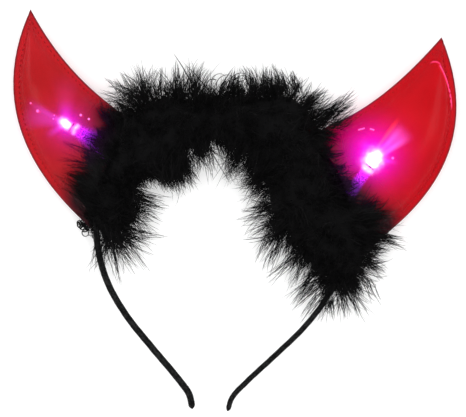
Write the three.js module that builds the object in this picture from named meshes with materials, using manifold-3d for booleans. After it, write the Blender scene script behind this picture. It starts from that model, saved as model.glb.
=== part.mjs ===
// Light-up horn headband, lying on its back: a cloth-wrapped hoop, two hollow horns of clear red film
// welded along their edges, a lamp on a sleeved lead inside each horn, and a marabou trim round the crown.
// Millimetres. Seen from the front, +X is right, +Y runs up to the horn tips and +Z comes forward.
import * as THREE from "three";
import { mergeVertices } from "three/addons/utils/BufferGeometryUtils.js";
import Module from "manifold-3d";

const wasm = await Module();
wasm.setup();

// Driving dimensions
const GAP = 0.3; // clearance between pieces that touch
const MERGE = 1e-3; // corners nearer than this are one corner
const MIDDLE_Z = 12; // height of the hoop's and the horns' middle plane above the floor
const AXIS_X = -1.9; // the hoop's own axis: the right horn leans out further than the left one

const BAND = { thickness: 3, depth: 6, chamfer: 0.8, steps: 58 };
const ROOM_DEPTH = 72; // the room inside the hoop passes the horns in front and behind
const BAND_TIP_TAPER = [0.45, 0.8]; // scale of the first sections at each end, so that the tips are rounded
const BAND_X = -0.6; // the hoop sits a little to the left between the horns
// Half of the hoop's middle line, from a tip up to the crown; the other half mirrors it
const HOOP_HALF = [
  { x: 8.8, y: -96.6 },
  { x: 10.8, y: -89.5 },
  { x: 17.3, y: -81.5 },
  { x: 30.9, y: -67.2 },
  { x: 44.6, y: -52.1 },
  { x: 54.8, y: -36.7 },
  { x: 60.5, y: -21 },
  { x: 62.6, y: -3 },
  { x: 60, y: 14 },
  { x: 50.5, y: 30.5 },
  { x: 33, y: 42 },
  { x: 12, y: 46.6 },
];

const FILM = 1; // wall of one horn panel
const FLANGE = 4.5; // flat welded border round each horn
const FLANGE_SHARE_MOST = 0.3; // and near the tip no more than this share of the horn's width
const PUFF_SHARE = 0.17; // how far a panel swells, as a share of the horn's width there
const PUFF_MOST = 9.5; // and no further than this
const PUFF_SHAPE = 0.8; // 1 is a parabola across the horn, less is fuller at the edges
const HORN_STATIONS = 20;
const HORN_COLUMNS = 8; // points across the swelled part of a panel
const TIP_END = 0.99; // where the horn's outer sections stop, as a share of its length
const HOLLOW_END = 0.9; // where its hollow stops
// Each edge of a horn is a straight run out of the hoop and one curve from its base to the tip
const HORNS = {
  left: {
    tip: [-102.6, 97.6],
    outer: { base: [-71.2, -5.1], bend: [-124.8, 39.9], run: 20 },
    inner: { base: [-60.8, 53.2], bend: [-86, 70.4], run: 34 },
    lamp: { at: [-80.6, 41.4], from: [-50.1, 25.2] },
  },
  right: {
    tip: [103.2, 96.6],
    outer: { base: [87.6, 2.4], bend: [128.8, 44.2], run: 52 },
    inner: { base: [56.4, 52.5], bend: [79.2, 65.1], run: 36 },
    lamp: { at: [73.7, 33.6], from: [58, 10.3] },
  },
};

const LAMP = { radius: 2.5, flangeRadius: 2.9, flange: 1, barrel: 6, sides: 12, noseSteps: 4 };
const SLEEVE = { radius: 1.9, ribRadius: 2.3, ribPitch: 2.4, sides: 8 };

const CORE_SHARE = 0.82; // the trim's dense core, as a share of its full reach
const CORE_SIDES = 12;
const CORE_STEPS = 26;
const CORE_END_TAPER = [0.5, 0.85]; // scale of the core's first sections at each end
const TRIM_RISE = 0.95; // the trim's height above its middle, as a share of its mean reach sideways
// A lock's radius at its base, waist and tip, and its end as a share of the trim's reach there.
// Where the trim reaches less than fullAt, its locks are slimmer.
const LOCK = {
  base: 7,
  waist: 5.2,
  waistAt: 0.55,
  tip: 0.6,
  reach: 1.2,
  sunk: 4,
  curl: 0.5,
  fullAt: 16,
  sides: 5,
};
const LOCK_ROWS = 20; // rings of locks along the trim
// Directions of the locks in one ring, in degrees from outwards, up over the front to inwards
const LOCK_FANS = [
  [8, 58, 104, 152],
  [32, 82, 128, 178],
];
// The trim's middle line from its left end over the crown to its right end, with its reach to either side
const TRIM = [
  { x: -55.6, y: -18, outer: 8, inner: 5 },
  { x: -54.4, y: -2, outer: 21, inner: 10 },
  { x: -51.9, y: 15.1, outer: 22, inner: 11.5 },
  { x: -44.5, y: 33.1, outer: 26, inner: 22 },
  { x: -29.3, y: 45.6, outer: 20.5, inner: 23.5 },
  { x: -11, y: 48.8, outer: 14, inner: 16 },
  { x: 5.4, y: 50.3, outer: 18, inner: 18 },
  { x: 21.7, y: 46.8, outer: 24.5, inner: 24 },
  { x: 29.8, y: 40.6, outer: 25, inner: 26 },
  { x: 36.6, y: 32.7, outer: 20, inner: 27.5 },
  { x: 42.8, y: 14.1, outer: 17, inner: 28 },
  { x: 47.4, y: 5.2, outer: 18.5, inner: 27.5 },
  { x: 51.9, y: -2.4, outer: 28, inner: 26 },
  { x: 59.4, y: -16.9, outer: 22, inner: 17 },
  { x: 58.6, y: -31, outer: 10, inner: 10 },
];

const FINISH = {
  ribbon: { color: 0x131313, roughness: 0.75, metalness: 0 },
  film: { color: 0xc81e28, roughness: 0.2, metalness: 0, transparent: true, opacity: 0.75 },
  lens: { color: 0xffffff, roughness: 0.1, metalness: 0, emissive: 0xff66ff },
  sleeve: { color: 0xb018c8, roughness: 0.3, metalness: 0 },
  marabou: { color: 0x0c0c0c, roughness: 1, metalness: 0 },
};

// A closed skin through rings of points that all have the same count, with a fan over each end
function loft(rings) {
  const count = rings[0].length;
  const points = rings.flat();
  const faces = [];
  for (let r = 0; r < rings.length - 1; r++) {
    for (let i = 0; i < count; i++) {
      const a = r * count + i;
      const b = r * count + ((i + 1) % count);
      faces.push(a, b, b + count, a, b + count, a + count);
    }
  }
  const last = (rings.length - 1) * count;
  for (let i = 1; i < count - 1; i++) {
    faces.push(0, i + 1, i);
    faces.push(last, last + i, last + i + 1);
  }
  const skin = new THREE.BufferGeometry().setFromPoints(points);
  skin.setIndex(faces);
  return skin;
}

function toSolid(geometry) {
  const bare = geometry.clone();
  bare.deleteAttribute("normal");
  bare.deleteAttribute("uv");
  const merged = mergeVertices(bare, MERGE);
  const triVerts = new Uint32Array(merged.index.array);
  const build = () =>
    new wasm.Manifold(
      new wasm.Mesh({ numProp: 3, vertProperties: merged.attributes.position.array, triVerts }),
    );
  const made = build();
  if (made.volume() > 0) return made;
  triVerts.reverse();
  return build();
}

function toGeometry(solid) {
  const { numProp, vertProperties, triVerts } = solid.getMesh();
  const skin = new THREE.BufferGeometry();
  skin.setAttribute("position", new THREE.BufferAttribute(vertProperties, numProp));
  skin.setIndex(new THREE.BufferAttribute(triVerts, 1));
  skin.computeVertexNormals();
  return skin;
}

function piece(name, solid, finish) {
  const mesh = new THREE.Mesh(toGeometry(solid), new THREE.MeshStandardMaterial(FINISH[finish]));
  mesh.name = name;
  return mesh;
}

const flat = ([x, y]) => new THREE.Vector2(x, y);

// The hoop
const hoopLine = new THREE.CatmullRomCurve3(
  [
    ...HOOP_HALF.map(({ x, y }) => new THREE.Vector3(BAND_X - x, y, 0)),
    ...HOOP_HALF.toReversed().map(({ x, y }) => new THREE.Vector3(BAND_X + x, y, 0)),
  ],
  false,
  "centripetal",
);

// Point and outward direction of a flat line at a share of its length
function along(line, share) {
  const point = line.getPointAt(share);
  const ahead = line.getTangentAt(share);
  return { point, ahead, outward: new THREE.Vector3(-ahead.y, ahead.x, 0).normalize() };
}

function hoopSolid(spare) {
  const half = BAND.thickness / 2 + spare;
  const deep = BAND.depth / 2 + spare;
  const cut = BAND.chamfer;
  const corners = [
    [half, deep - cut], [half - cut, deep], [cut - half, deep], [-half, deep - cut],
    [-half, cut - deep], [cut - half, -deep], [half - cut, -deep], [half, cut - deep],
  ];
  const rings = [];
  for (let s = 0; s <= BAND.steps; s++) {
    const { point, outward } = along(hoopLine, s / BAND.steps);
    const fromEnd = Math.min(s, BAND.steps - s);
    const scale = spare > 0 ? 1 : (BAND_TIP_TAPER[fromEnd] ?? 1);
    rings.push(
      corners.map(([out, up]) =>
        point.clone().addScaledVector(outward, out * scale).setZ(MIDDLE_Z + up * scale),
      ),
    );
  }
  return toSolid(loft(rings));
}

// All the room inside the hoop, out to a distance from its middle line
function hoopRoom(reach) {
  const outline = new THREE.Shape();
  for (let s = 0; s <= BAND.steps; s++) {
    const { point, outward } = along(hoopLine, s / BAND.steps);
    const edge = point.addScaledVector(outward, reach);
    if (s === 0) outline.moveTo(edge.x, edge.y);
    else outline.lineTo(edge.x, edge.y);
  }
  const room = new THREE.ExtrudeGeometry(outline, { depth: ROOM_DEPTH, bevelEnabled: false });
  room.translate(0, 0, MIDDLE_Z - ROOM_DEPTH / 2);
  return toSolid(room);
}

const bandSolid = hoopSolid(0);
const bandRoom = hoopRoom(BAND.thickness / 2 + GAP);
const bandFace = hoopRoom(BAND.thickness / 2);

// One edge of a horn, from inside the hoop out to the tip
function hornEdge({ base, bend, run }, tip) {
  const start = flat(base);
  const inwards = start.clone().sub(flat(bend)).normalize();
  const edge = new THREE.CurvePath();
  edge.add(new THREE.LineCurve(start.clone().addScaledVector(inwards, run), start));
  edge.add(new THREE.QuadraticBezierCurve(start, flat(bend), flat(tip)));
  return edge;
}

// Points across one panel at a share of the horn's length: place across, and swell above the middle plane
function panelSection(horn, share) {
  const outer = hornEdge(horn.outer, horn.tip).getPointAt(share);
  const inner = hornEdge(horn.inner, horn.tip).getPointAt(share);
  const width = outer.distanceTo(inner);
  const border = Math.min(FLANGE / width, FLANGE_SHARE_MOST);
  const puff = Math.min(PUFF_SHARE * width, PUFF_MOST);
  const swelled = [];
  for (let c = 0; c <= HORN_COLUMNS; c++) {
    const across = (2 * c) / HORN_COLUMNS - 1;
    swelled.push({
      place: border + ((1 - 2 * border) * c) / HORN_COLUMNS,
      swell: puff * (1 - across ** 2) ** PUFF_SHAPE,
    });
  }
  const at = (place) => outer.clone().lerp(inner, place);
  return { at, swelled, width };
}

// The horn's outer form, with spare room all round for what it goes through
function hornForm(horn, spare) {
  const rings = [];
  for (let s = 0; s <= HORN_STATIONS; s++) {
    const { at, swelled, width } = panelSection(horn, (TIP_END * s) / HORN_STATIONS);
    const beyond = spare / width;
    const panel = [{ place: -beyond, swell: 0 }, ...swelled, { place: 1 + beyond, swell: 0 }];
    const side = (sign) =>
      panel.map(({ place, swell }) => {
        const { x, y } = at(place);
        return new THREE.Vector3(x, y, MIDDLE_Z + sign * (swell + FILM + spare));
      });
    rings.push([...side(1), ...side(-1).reverse()]);
  }
  return toSolid(loft(rings));
}

function hornHollow(horn) {
  const rings = [];
  for (let s = 0; s <= HORN_STATIONS; s++) {
    const { at, swelled } = panelSection(horn, (HOLLOW_END * s) / HORN_STATIONS);
    const side = (points, sign) =>
      points.map(({ place, swell }) => {
        const { x, y } = at(place);
        return new THREE.Vector3(x, y, MIDDLE_Z + sign * swell);
      });
    rings.push([...side(swelled, 1), ...side(swelled.slice(1, -1), -1).reverse()]);
  }
  return toSolid(loft(rings));
}

const hornSolid = (horn) => hornForm(horn, 0).subtract(hornHollow(horn)).subtract(bandRoom);

// A turned shape set along the lead's line, with its foot at a distance from the lead's start
function onLead({ at, from }, profile, sides, distance) {
  const start = flat(from);
  const lead = flat(at).sub(start);
  const turned = new THREE.LatheGeometry(profile.map(flat), sides);
  turned.translate(0, distance, 0);
  turned.rotateZ(lead.angle() - Math.PI / 2);
  turned.translate(start.x, start.y, MIDDLE_Z);
  return toSolid(turned);
}

const leadLength = ({ at, from }) => flat(at).distanceTo(flat(from));
const lampFoot = (lead) => leadLength(lead) - LAMP.barrel / 2;

function lampSolid(lead) {
  const profile = [
    [0, 0],
    [LAMP.flangeRadius, 0],
    [LAMP.flangeRadius, LAMP.flange],
    [LAMP.radius, LAMP.flange],
  ];
  for (let step = 0; step < LAMP.noseSteps; step++) {
    const lift = (step * Math.PI) / 2 / LAMP.noseSteps;
    profile.push([LAMP.radius * Math.cos(lift), LAMP.barrel + LAMP.radius * Math.sin(lift)]);
  }
  profile.push([0, LAMP.barrel + LAMP.radius]);
  return onLead(lead, profile, LAMP.sides, lampFoot(lead));
}

function sleeveSolid(lead) {
  const length = lampFoot(lead) - GAP;
  const ribs = Math.round(length / SLEEVE.ribPitch);
  const profile = [[0, 0]];
  for (let rib = 0; rib <= 2 * ribs; rib++) {
    const radius = rib % 2 ? SLEEVE.ribRadius : SLEEVE.radius;
    profile.push([radius, (length * rib) / (2 * ribs)]);
  }
  profile.push([0, length]);
  return onLead(lead, profile, SLEEVE.sides, 0).subtract(bandRoom);
}

// The marabou trim
const trimLine = new THREE.CatmullRomCurve3(
  TRIM.map(({ x, y }) => new THREE.Vector3(x, y, 0)),
  false,
  "centripetal",
);

// Reach of the trim at a share of its length: sideways in one direction round it, and upwards.
// The line's own parameter counts its points, so both come from the two rows next to it.
function trimReach(share, turn) {
  const place = trimLine.getUtoTmapping(share) * (TRIM.length - 1);
  const row = Math.min(Math.floor(place), TRIM.length - 2);
  const between = (side) => THREE.MathUtils.lerp(TRIM[row][side], TRIM[row + 1][side], place - row);
  const outer = between("outer");
  const inner = between("inner");
  return {
    out: (Math.cos(turn) > 0 ? outer : inner) * Math.cos(turn),
    up: ((TRIM_RISE * (outer + inner)) / 2) * Math.sin(turn),
  };
}

// Feathers are pressed flat where they rest on the floor
const pressed = (point) => point.setZ(Math.max(point.z, 0));

function trimCore() {
  const rings = [];
  for (let s = 0; s <= CORE_STEPS; s++) {
    const share = s / CORE_STEPS;
    const { point, outward } = along(trimLine, share);
    const scale = CORE_SHARE * (CORE_END_TAPER[Math.min(s, CORE_STEPS - s)] ?? 1);
    const ring = [];
    for (let i = 0; i < CORE_SIDES; i++) {
      const { out, up } = trimReach(share, (2 * Math.PI * i) / CORE_SIDES);
      const place = point.clone().addScaledVector(outward, scale * out);
      place.z = MIDDLE_Z + scale * up;
      ring.push(pressed(place));
    }
    rings.push(ring);
  }
  return toSolid(loft(rings));
}

// One lock of down: a bent cone that leans along the trim, from inside the core to past its surface
function lockSolid(share, degrees, lean) {
  const { point, ahead, outward } = along(trimLine, share);
  const { out, up } = trimReach(share, THREE.MathUtils.degToRad(degrees));
  const way = outward.clone().multiplyScalar(out).setZ(up);
  const reach = way.length();
  way.normalize();
  const across = new THREE.Vector3().crossVectors(way, ahead);
  const foot = CORE_SHARE * reach - LOCK.sunk;
  const end = LOCK.reach * reach;
  const slim = Math.min(1, reach / LOCK.fullAt);
  const sections = [
    { rise: 0, size: LOCK.base * slim },
    { rise: LOCK.waistAt, size: LOCK.waist * slim },
    { rise: 1, size: LOCK.tip },
  ];
  const rings = sections.map(({ rise, size }) => {
    const centre = point.clone().setZ(MIDDLE_Z);
    centre.addScaledVector(way, foot + (end - foot) * rise);
    centre.addScaledVector(ahead, lean * LOCK.curl * (end - foot) * rise ** 2);
    const ring = [];
    for (let i = 0; i < LOCK.sides; i++) {
      const round = (2 * Math.PI * i) / LOCK.sides;
      const place = centre.clone().addScaledVector(ahead, size * Math.cos(round));
      ring.push(pressed(place.addScaledVector(across, size * Math.sin(round))));
    }
    return ring;
  });
  return toSolid(loft(rings));
}

function trimSolid() {
  let trim = trimCore();
  for (let row = 0; row < LOCK_ROWS; row++) {
    const share = (row + 0.5) / LOCK_ROWS;
    LOCK_FANS[row % 2].forEach((degrees, i) => {
      trim = trim.add(lockSolid(share, degrees, (row + i) % 2 ? 1 : -1));
    });
  }
  trim = trim.subtract(hoopSolid(GAP));
  for (const horn of Object.values(HORNS)) {
    trim = trim.subtract(hornForm(horn, GAP).subtract(bandFace));
  }
  // Lock tips that the horns cut off are left out
  const pieces = trim.decompose().sort((a, b) => b.volume() - a.volume());
  return pieces[0];
}

const headband = new THREE.Group();
headband.position.x = AXIS_X;
headband.add(piece("band", bandSolid, "ribbon"));
for (const [side, horn] of Object.entries(HORNS)) {
  headband.add(piece(`${side}_horn`, hornSolid(horn), "film"));
  headband.add(piece(`${side}_lamp`, lampSolid(horn.lamp), "lens"));
  headband.add(piece(`${side}_lamp_sleeve`, sleeveSolid(horn.lamp), "sleeve"));
}
headband.add(piece("marabou_trim", trimSolid(), "marabou"));

export default headband;
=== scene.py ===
import math

import bmesh
import bpy
import numpy as np
from mathutils import Matrix, Vector, noise


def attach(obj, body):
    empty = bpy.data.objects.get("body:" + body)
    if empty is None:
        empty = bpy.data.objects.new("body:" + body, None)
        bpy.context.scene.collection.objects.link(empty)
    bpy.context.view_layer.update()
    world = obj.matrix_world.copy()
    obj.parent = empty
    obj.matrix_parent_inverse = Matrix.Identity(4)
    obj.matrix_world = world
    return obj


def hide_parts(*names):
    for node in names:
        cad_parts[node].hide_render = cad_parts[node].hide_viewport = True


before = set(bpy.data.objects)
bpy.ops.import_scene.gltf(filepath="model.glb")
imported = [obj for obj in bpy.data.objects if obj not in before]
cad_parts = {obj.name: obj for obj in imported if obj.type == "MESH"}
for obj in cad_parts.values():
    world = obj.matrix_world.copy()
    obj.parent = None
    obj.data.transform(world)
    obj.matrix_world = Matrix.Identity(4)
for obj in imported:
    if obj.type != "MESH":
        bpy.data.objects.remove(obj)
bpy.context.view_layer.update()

MM = 0.001

# Sizes in millimetres, in the hoop's own axes. Pieces are moved by AXIS_X when they are made
AXIS_X = -1.9
MIDDLE_Z = 12
GAP = 0.3

# The ribbon's turns overlap by a lap, and the left leg is a little thicker than the right one
BAND = {
    "x": -0.6, "thickness": 3.0, "depth": 6.0, "legs": (0.2, -0.15), "tip": 1.8, "square": 0.5,
    "wrap": 7.5, "lap": 0.09, "thread": 0.85, "girth": 16, "steps": 600, "sides": 24,
}
# Half of the hoop's middle line, from a tip to the crown
HOOP_HALF = [
    (8.8, -96.6), (10.8, -89.5), (17.3, -81.5), (30.9, -67.2), (44.6, -52.1), (54.8, -36.7),
    (60.5, -21), (62.6, -3), (60, 14), (50.5, 30.5), (33, 42), (12, 46.6),
]

# Each horn's flat border, the line along which its two films are joined, and their swell between. Its long
# edges have a base, a bend and a straight run out of the hoop
FLANGE = 4.5
WELD = 3.6
PUFF = {"share": 0.17, "most": 9.5, "shape": 0.8}
GATHER = {"pitch": 2.6, "inset": 0.8, "width": 1.3, "height": 0.10}
DENTS = {"scale": 0.055, "height": 0.7, "from_edge": 6}
FILM_ATTRIBUTES = ("edge_mm", "run_mm", "trim_mm")
EDGE_STEPS = 500
FILM = {"rows": 84, "columns": 44, "border": 1.0, "rim": 0.15, "wall": 0.25, "tip": 0.9995}
HORNS = {
    "left": {
        "tip": (-102.6, 97.6),
        "outer": ((-71.2, -5.1), (-124.8, 39.9), 20),
        "inner": ((-60.8, 53.2), (-86, 70.4), 34),
        "lamp": {"at": (-80.6, 41.4), "from": (-50.1, 25.2)},
    },
    "right": {
        "tip": (103.2, 96.6),
        "outer": ((87.6, 2.4), (128.8, 44.2), 52),
        "inner": ((56.4, 52.5), (79.2, 65.1), 36),
        "lamp": {"at": (73.7, 33.6), "from": (58, 10.3)},
    },
}
STITCH = {
    "length": 1.4, "width": 0.55, "height": 0.28, "pitch": 2.7, "inset": {"outer": 3.0, "inner": 2.4},
    "last": 0.955, "from_down": 3, "lift": 0.02,
}

LAMP = {"radius": 2.5, "flange_radius": 2.9, "flange": 1.0, "barrel": 6.0, "bevel": 0.2, "sides": 32}
SLEEVE = {"radius": 1.8, "rib_radius": 2.25, "pitch": 1.8, "steps": 6, "gap": 1.2, "sides": 24}

# The trim's middle line from its left end over the crown to its right end. To the outside and the inside:
# the reach of its dense down, how far wisps pass that, and how much they lean along the line
TRIM = [
    (-57, -15.5, 8, 5, 3, 12, 0.4, -1.0),
    (-54.4, -2, 19, 11, 5, 16, 0.7, -0.45),
    (-53.4, 5, 25, 10.5, 5, 16, 0.6, -0.4),
    (-51.9, 12.1, 21.5, 8.5, 6, 5, 0.5, -0.35),
    (-44.5, 33.1, 23.5, 27.5, 6, 8, 0.2, -0.45),
    (-29.3, 45.6, 20, 28, 11, 8, 0.0, -0.4),
    (-20, 47.6, 16.5, 21, 12, 11, 0.02, -0.1),
    (-11, 48.8, 14, 18, 12, 15, 0.05, 0.0),
    (5.4, 50.3, 14.5, 20, 10, 15, 0.1, 0.0),
    (21.7, 46.8, 25, 25, 8, 8, 0.15, 0.05),
    (29.8, 40.6, 22, 27.5, 8, 7, 0.3, 0.08),
    (36.6, 32.7, 18.5, 29, 6, 7, 0.3, 0.1),
    (42.8, 14.1, 20, 31, 5, 8, 0.1, 0.2),
    (47.4, 5.2, 22, 29, 5, 11, 0.2, 0.35),
    (51.9, -2.4, 29, 24, 5, 14, 0.3, 0.57),
    (59.4, -16.9, 20.5, 14.5, 7, 18, 0.35, 1.0),
    (58.6, -31, 9, 10, 11, 17, 0.9, 1.1),
]
TRIM_STEPS = 400
# The share of the line before which there are only locks, the trim's height for its half width, the
# wisps' length at the top, and the height that nothing passes
DENSE_FROM = 0.035
TRIM_RISE = 0.95
WISP_UP = 4.0
TRIM_TOP = 47.0
SEEDS = {"lumps": 12, "tufts": 64, "down": 71}
# The dense edge swells and dips from tuft to tuft, differently on either side
LUMPS = np.random.default_rng(SEEDS["lumps"]).uniform(0.87, 1.1, (2, 36))
TRIM_PIECES = ["left_end", "left_side", "crown_left", "crown_right", "right_side", "right_end"]
TRIM_ENDS = {
    "left_end": {"share": 0, "reach": 2, "wisp": 16, "fan": (-0.15, 0.95), "locks": 6},
    "right_end": {"share": 1, "reach": 6, "wisp": 14, "fan": (-0.6, 1.05), "locks": 12},
}
END_INSET = 5.0
END_RISE = (-0.1, 0.6)
# Layers of the down in each stretch of the trim: dense fill, a looser edge, long locks and single hairs
CORE = {"share": 0.65, "taper": 9, "floor": 0.4, "tone": 0.1, "steps": 120, "sides": 28}
FILL = {"tufts": 66, "strands": 32, "reach": (0.62, 0.86), "scatter": 2.0, "width": 0.225, "points": 4}
EDGE = {"tufts": 160, "strands": 17, "reach": (0.76, 1.0), "scatter": 1.6, "width": 0.137, "points": 4}
LOCKS = {
    "count": 84, "barbs": 15, "width": 0.165, "points": 7, "spread": 0.22, "scatter": 1.5,
    "drawn": (0, 0.9), "curl": 0.2, "stray": 0.07, "shorter": 0.6, "bow": 0.65, "past": 1.15,
}
HAIR = {"count": 70, "width": 0.15, "points": 8, "past": (0.4, 1.25), "bow": 1.4}
STRAND = {
    "under": 0.75, "root": 0.25, "lean": 0.35, "stray": 0.12, "length": (0.6, 1.05), "width": (0.7, 1.2),
}
# A direction that no strand lies along, and how far strands keep from the film and the floor
ASKEW = np.array([0.31, 0.17, 0.93])
CLEAR = {"film": 0.5, "floor": 0.25}
FILM_GRID = 300
# Turns round the line at which locks and hairs leave the dense edge, outside, inside and on top, with shares
TOP = math.pi / 2
EDGE_TURNS = (0, math.pi, TOP)
EDGE_SHARES = (0.38, 0.38, 0.24)
LEAVE = {"from": 0.68, "spread": 0.3, "lean": 0.34, "stray": 0.10}
# Loose curled ends over the crown and a knot of thread by the left end. Each has its centre, radius, the
# angle where it starts, how far it turns, and its width
CURLS = [
    (0.9, 67.6, 15, 2.6, 200, 300, 0.28),
    (4.2, 71.3, 14, 3.0, 150, 250, 0.28),
    (-2.4, 64.4, 16, 2.8, 100, 260, 0.28),
    (-9.5, 65.5, 15, 2.6, 60, 330, 0.28),
    (-5.5, 67.5, 14, 4.2, 200, -140, 0.26),
    (-1.5, 66.0, 14, 5.5, 190, -125, 0.26),
    (5.5, 66.5, 16, 6.3, 200, -135, 0.3),
    (6.2, 66.0, 17, 5.4, 200, -140, 0.3),
    (4.8, 65.5, 17, 4.6, 200, -140, 0.3),
    (-68.4, -12.2, 8, 1.7, 30, 400, 0.38),
    (-69.0, -9.2, 9, 2.1, 250, 400, 0.42),
    (-71.2, -8.3, 8, 1.4, 120, 400, 0.42),
    (-71.9, -7.4, 9, 1.0, 0, 420, 0.40),
    (-67.4, -8.0, 10, 1.7, 200, 400, 0.42),
    (-69.9, -7.6, 9, 1.6, 90, 400, 0.42),
    (-66.6, -9.6, 9, 1.3, 300, 400, 0.40),
    (-68.6, -7.2, 11, 1.2, 30, 400, 0.40),
    (-70.4, -9.4, 7, 1.2, 60, 400, 0.40),
    (-68.2, -9.0, 11, 1.0, 10, 420, 0.42),
    (-70.2, -8.4, 11, 0.9, 10, 420, 0.42),
    (-67.6, -9.8, 10, 0.9, 100, 420, 0.42),
    (-69.4, -8.2, 8, 0.8, 200, 420, 0.42),
    (-71.0, -7.6, 10, 0.8, 300, 420, 0.42),
]
CURL_POINTS = 22
# Tufts that stand out from the rest: the root and the tip of each, and its number of locks
TUFTS = {
    "crown_left": [
        (-42, 55, -48, 76, 2), (-42, 56, -43.5, 75.5, 3), (-45, 56, -50, 70, 2), (-40, 57, -40, 72, 1),
        (-47, 54, -65, 60, 2), (-46, 56, -60.5, 66, 3), (-46, 55, -56, 69.5, 2), (-48, 50, -63, 56, 2),
        (-28, 58, -32, 76, 3), (-26, 58.5, -26, 78.5, 2), (-24, 59.5, -24, 74, 2), (-36, 58, -37, 73.5, 2),
        (-31, 58, -33, 70, 2), (-49, 47, -62, 51, 2), (-19, 60, -21.5, 79, 3), (-17, 60, -18, 76, 2),
    ],
    "crown_right": [
        (-4.5, 60, -0.5, 75, 1), (10.5, 61, 4, 77, 2), (12, 62.5, 10.5, 78.5, 3), (15, 62.5, 14, 75, 3),
        (21.5, 63, 20, 78.5, 4), (26, 63.5, 24.5, 77, 2), (28, 63.5, 26.5, 79, 1), (31, 64.5, 31.5, 78, 2),
        (31, 62, 35, 73, 3), (35.5, 57.5, 40.5, 70, 2), (37.5, 56, 44, 66.5, 2),
    ],
    "right_shoulder": [
        (43.5, 49.5, 60.5, 67, 4), (48.5, 52.5, 64, 65, 3), (51.5, 50.5, 63.5, 58, 2), (42, 55, 50, 63.5, 1),
        (45, 54.5, 55, 64.5, 1), (50, 46, 62, 53, 1),
    ],
    "right_outside": [
        (71.5, 2, 91, 8, 2), (72, -2, 91.5, -5, 2), (71, -4.5, 84, -11.5, 1), (70, -1, 91, 2, 2),
    ],
    "right_inside": [
        (28, 10, 16, 7, 2), (33, 4, 18, -6, 3), (32, 0, 16, -13, 3), (25, -9.5, 15, -21, 1),
        (28.5, -13.5, 18, -29, 1), (34.5, -18, 21.5, -34, 1), (46.5, -28, 36.5, -43, 2),
        (50.5, -33.5, 41, -50, 1),
    ],
    "right_end": [
        (56.5, -37.5, 55, -48, 2), (60, -36, 62, -48.5, 1), (66, -34.5, 75, -47.5, 1),
        (71.5, -28.5, 83, -41, 1), (75, -5, 92, -5.5, 3), (70, -8, 85, -9, 2), (70, -10.5, 83, -13, 2),
    ],
    "left_end": [
        (-47.5, 9, -25.5, 5, 3), (-47, 6, -26, 1, 3), (-46, 4, -27.5, -4, 2), (-47.5, -7.5, -29, -13, 2),
        (-48.5, -11, -33, -21.5, 2), (-51.5, -11.5, -37, -28.5, 1), (-54, -13, -43, -32.5, 1),
        (-57, -15, -49, -37, 1),
    ],
    "left_outside": [
        (-69, 1.5, -81.5, 13.5, 2), (-68, 6.5, -78, 17, 1), (-66, 4, -79, 9, 2), (-59, -3, -71, -3.5, 1),
    ],
    "inside": [
        (-31, 24, -24.5, 11, 3), (-35, 22, -29.5, 11.5, 3), (-10, 40.5, -10, 25, 1), (-3, 41, 0, 25, 1),
        (4, 38.5, 7, 22, 1),
    ],
    "left_foot": [
        (-57, -6, -52, -20, 3), (-54, -8, -48, -19, 3), (-58, -8, -55, -23, 2), (-59, -14, -62.5, -34, 1),
    ],
    "left_film": [
        (-67, 26, -83.5, 30, 1), (-67, 22, -85, 26.5, 1), (-67, 18, -84, 22, 1), (-67, 14, -86, 17, 1),
        (-67, 11, -86, 12, 1),
    ],
}
TUFT = {"root_z": 19.0, "tip_z": 18.0, "scatter": 1.2, "length": (0.85, 1.1)}
# Finer locks where they lie on the film, curled ones on the left of the crown, and some drawn together
TUFT_STYLE = {
    "crown_left": {"curl": 0.26, "thick": 0.15},
    "crown_right": {"curl": 0.14, "drawn": (0.45, 0.95)},
    "right_outside": {"thick": 0.11},
    "left_outside": {"thick": 0.12},
    "left_foot": {"thick": 0.14, "drawn": (0.3, 0.9)},
    "left_film": {"curl": 0.12, "thick": 0.1, "drawn": (0.2, 0.8)},
}
# The tip and the root of each bare quill
QUILLS = [((-30.4, 80.6, 16), (-19.5, 64.9, 15)), ((-23.2, 74.3, 20), (-9, 59.9, 19))]
QUILL = {"width": 0.36, "points": 8}
LOOSE_TONE = 0.3

# The picture's size in pixels and of each pixel. The stage in metres, and each softbox with its place, size,
# power and whether it shows in glossy surfaces
PICTURE = {"width": 466, "pixel": 0.5, "roll": 3.6, "middle": (2.69, 4.67)}
CAMERA_HEIGHT = 1.25
SENSOR = 36
SKY_STRENGTH = 0.45
SOFTBOXES = {
    "softbox_above": ((0.0, 0.1, 1.9), (1.6, 1.6), 30, False),
    "softbox_left": ((-1.2, 0.4, 0.9), (0.8, 0.8), 4, True),
    "softbox_right": ((1.2, 0.2, 0.9), (0.8, 0.8), 3, True),
    "softbox_low": ((0.0, -1.2, 0.9), (1.2, 0.8), 3, True),
}


# Lines and shapes
def even(points, count):
    """The same line in even steps of its length, and that length. Columns past x and y follow along."""
    steps = span(np.diff(points[:, :2], axis=0))
    run = np.concatenate([[0], np.cumsum(steps)])
    places = np.linspace(0, run[-1], count)
    return np.column_stack([np.interp(places, run, column) for column in points.T]), run[-1]


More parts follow.
